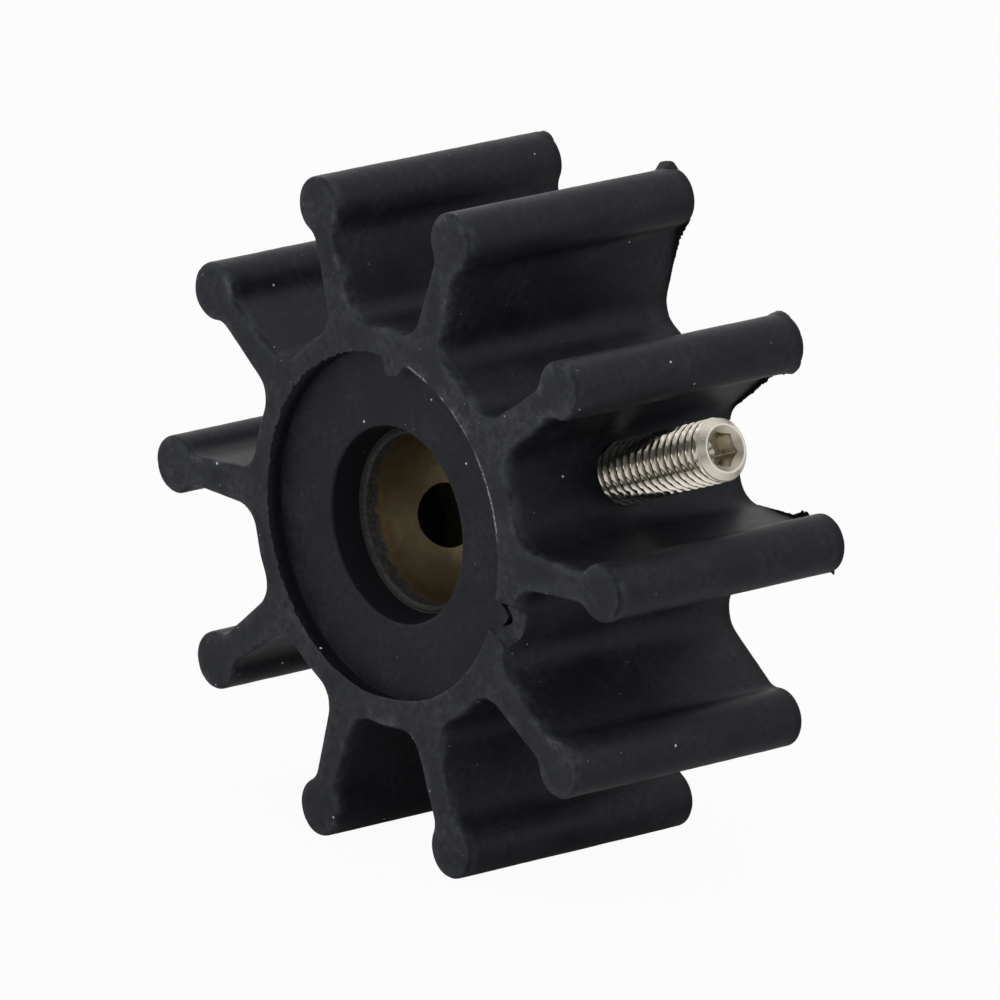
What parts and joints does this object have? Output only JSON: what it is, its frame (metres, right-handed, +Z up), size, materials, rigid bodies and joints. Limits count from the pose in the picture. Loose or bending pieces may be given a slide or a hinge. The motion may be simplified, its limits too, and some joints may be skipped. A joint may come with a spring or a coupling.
{
  "type": "rubber pump impeller",
  "caption": "Flexible rubber pump impeller with round-tipped straight blades, a metal hub bush with a through bore, and a radial set screw between two blades.",
  "frame": {"origin": "centre of the shaft bore, midway between the two end faces", "axes": "+Y along the shaft bore, from the front end face towards the rear; +X along one blade; +Z up, with the impeller standing on two blade tips"},
  "size_m": [0.065, 0.0272, 0.0626],
  "materials": {
    "moulded_rubber": "satin black moulded rubber",
    "bush_metal": "turned, slightly dulled",
    "screw_steel": "bright stainless steel"
  },
  "bodies": {
    "root": {"rubber_body": "moulded_rubber", "hub_bush": "bush_metal", "set_screw": "screw_steel"}
  },
  "joints": []
}
